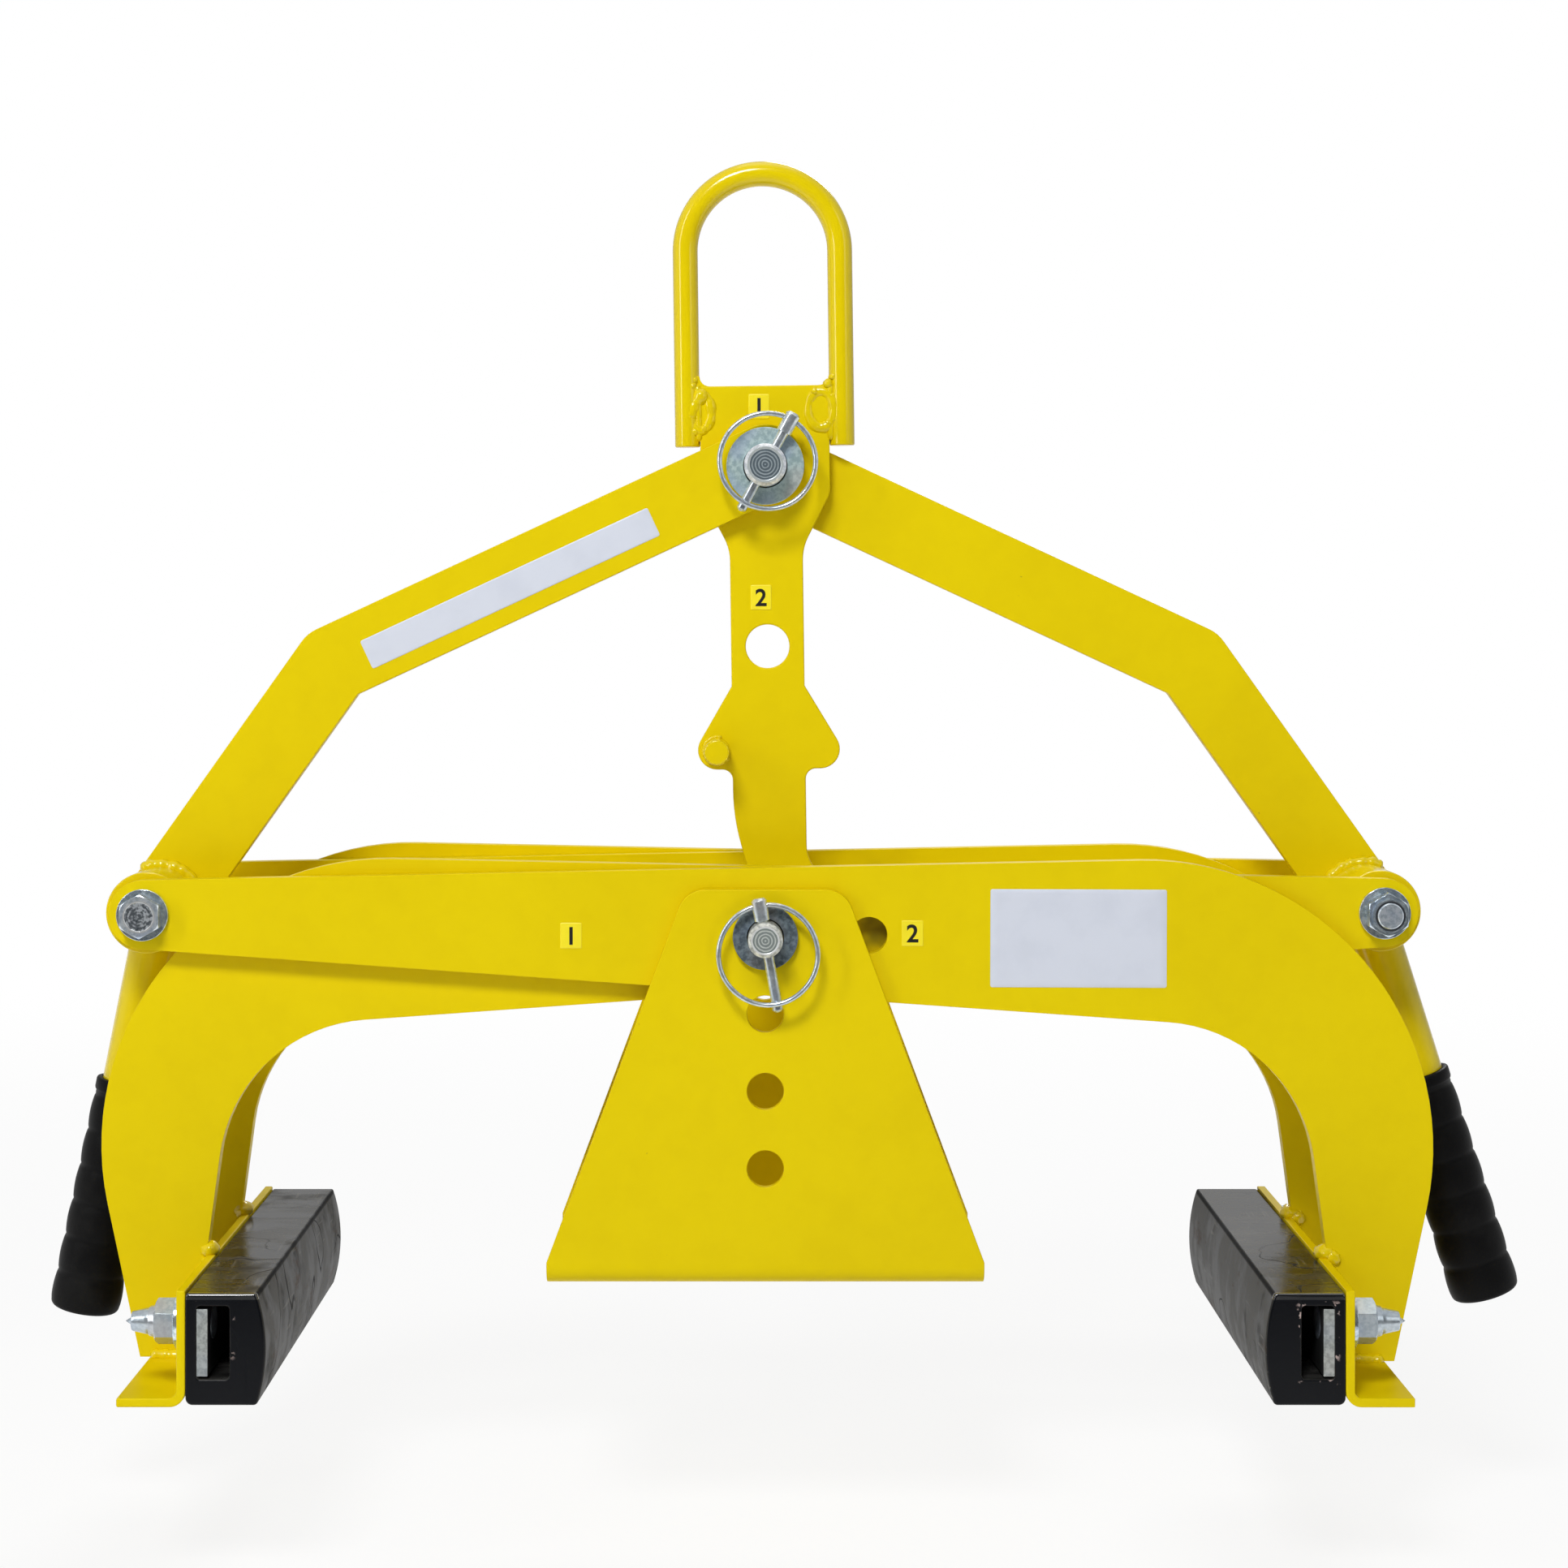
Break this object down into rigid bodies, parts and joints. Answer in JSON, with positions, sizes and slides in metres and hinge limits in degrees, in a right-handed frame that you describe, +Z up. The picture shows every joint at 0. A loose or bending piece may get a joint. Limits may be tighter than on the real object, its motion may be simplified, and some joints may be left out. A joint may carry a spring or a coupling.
{
  "type": "block laying tongs",
  "caption": "Yellow scissor lifting tongs for kerbs and blocks: crossed plate arms with rubber jaw pads, bent links with handles, a folded depth stop and a lifting bail.",
  "frame": {"origin": "on the ground, under the middle of the overall width, 10.2 mm to the right of the centre pin because the handles lean by different angles, and midway between front and back", "axes": "+X across the jaws to the right, +Y to the back, away from the side with the linch pins, +Z up"},
  "size_m": [0.7038, 0.24, 0.567],
  "materials": {
    "yellow_paint": "glossy yellow powder coat with slight orange peel",
    "zinc_plate": "bright zinc plate on turned, forged and cut steel",
    "pad_rubber": "black extruded rubber with a dull bloom",
    "grip_rubber": "black moulded rubber, slightly glossy"
  },
  "bodies": {
    "centre_pivot": {"centre_pin": "zinc_plate", "centre_sleeve": "zinc_plate", "centre_washer": "zinc_plate", "centre_linch_pin": "zinc_plate"},
    "right_arm": {"right_arm_outer_plate": "yellow_paint", "right_arm_inner_plate": "yellow_paint", "right_jaw_angle": "yellow_paint", "right_jaw_pad": "pad_rubber", "right_pad_clamp_bar": "zinc_plate", "right_pad_bolts": "zinc_plate", "right_pad_washers": "zinc_plate", "right_pad_nuts": "zinc_plate", "left_pivot_bolt": "zinc_plate", "left_pivot_washers": "zinc_plate", "left_pivot_nut": "zinc_plate"},
    "left_arm": {"left_arm_outer_plate": "yellow_paint", "left_arm_inner_plate": "yellow_paint", "left_jaw_angle": "yellow_paint", "left_jaw_pad": "pad_rubber", "left_pad_clamp_bar": "zinc_plate", "left_pad_bolts": "zinc_plate", "left_pad_washers": "zinc_plate", "left_pad_nuts": "zinc_plate", "right_pivot_bolt": "zinc_plate", "right_pivot_washers": "zinc_plate", "right_pivot_nut": "zinc_plate"},
    "left_link": {"left_link": "yellow_paint", "left_bush": "yellow_paint", "left_handle_tube": "yellow_paint", "left_grip": "grip_rubber"},
    "right_link": {"right_link": "yellow_paint", "right_bush": "yellow_paint", "right_handle_tube": "yellow_paint", "right_grip": "grip_rubber"},
    "top_pivot": {"top_pin": "zinc_plate", "top_washer": "zinc_plate", "top_linch_pin": "zinc_plate"},
    "hanger": {"bail": "yellow_paint", "hanger_plate": "yellow_paint", "hanger_peg": "yellow_paint"},
    "depth_stop": {"depth_stop": "yellow_paint"},
    "top_ring": {"top_linch_ring": "zinc_plate"},
    "centre_ring": {"centre_linch_ring": "zinc_plate"}
  },
  "joints": [
    {"name": "jaw_close", "type": "hinge", "parent": "centre_pivot", "child": "right_arm", "pos_m": [-0.01017, 0, 0.201], "axis": [0, 1, 0], "range_deg": [0, 20]},
    {"name": "left_jaw_close", "type": "hinge", "parent": "centre_pivot", "child": "left_arm", "pos_m": [-0.01017, 0, 0.201], "axis": [0, -1, 0], "range_deg": [0, 20]},
    {"name": "left_link_pivot", "type": "hinge", "parent": "right_arm", "child": "left_link", "pos_m": [-0.29817, 0, 0.2105], "axis": [0, -1, 0], "range_deg": [0, 24.7]},
    {"name": "right_link_pivot", "type": "hinge", "parent": "left_arm", "child": "right_link", "pos_m": [0.27783, 0, 0.2105], "axis": [0, 1, 0], "range_deg": [0, 24.7]},
    {"name": "top_pin_rise", "type": "slide", "parent": "centre_pivot", "child": "top_pivot", "axis": [0, 0, 1], "range_m": [0, 0.1215]},
    {"name": "hanger_swing", "type": "hinge", "parent": "top_pivot", "child": "hanger", "pos_m": [-0.01017, 0, 0.42], "axis": [0, 1, 0], "range_deg": [-3, 4.5]},
    {"name": "depth_stop_swing", "type": "hinge", "parent": "centre_pivot", "child": "depth_stop", "pos_m": [-0.01017, 0, 0.201], "axis": [0, 1, 0], "range_deg": [-15, 15]},
    {"name": "top_ring_flip", "type": "hinge", "parent": "top_pivot", "child": "top_ring", "pos_m": [0.00196, -0.0198, 0.44187], "axis": [-0.8746, 0, 0.4848], "range_deg": [0, 150]},
    {"name": "centre_ring_flip", "type": "hinge", "parent": "centre_pivot", "child": "centre_ring", "pos_m": [-0.01282, -0.0671, 0.21607], "axis": [-0.9848, 0, -0.1736], "range_deg": [0, 150]}
  ],
  "couplings": [
    {"joint": "left_jaw_close", "follows": "jaw_close", "ratio": 1},
    {"joint": "left_link_pivot", "follows": "jaw_close", "ratio": 1.2313},
    {"joint": "right_link_pivot", "follows": "jaw_close", "ratio": 1.2313},
    {"joint": "top_pin_rise", "follows": "jaw_close", "m_per_rad": 0.34723}
  ]
}
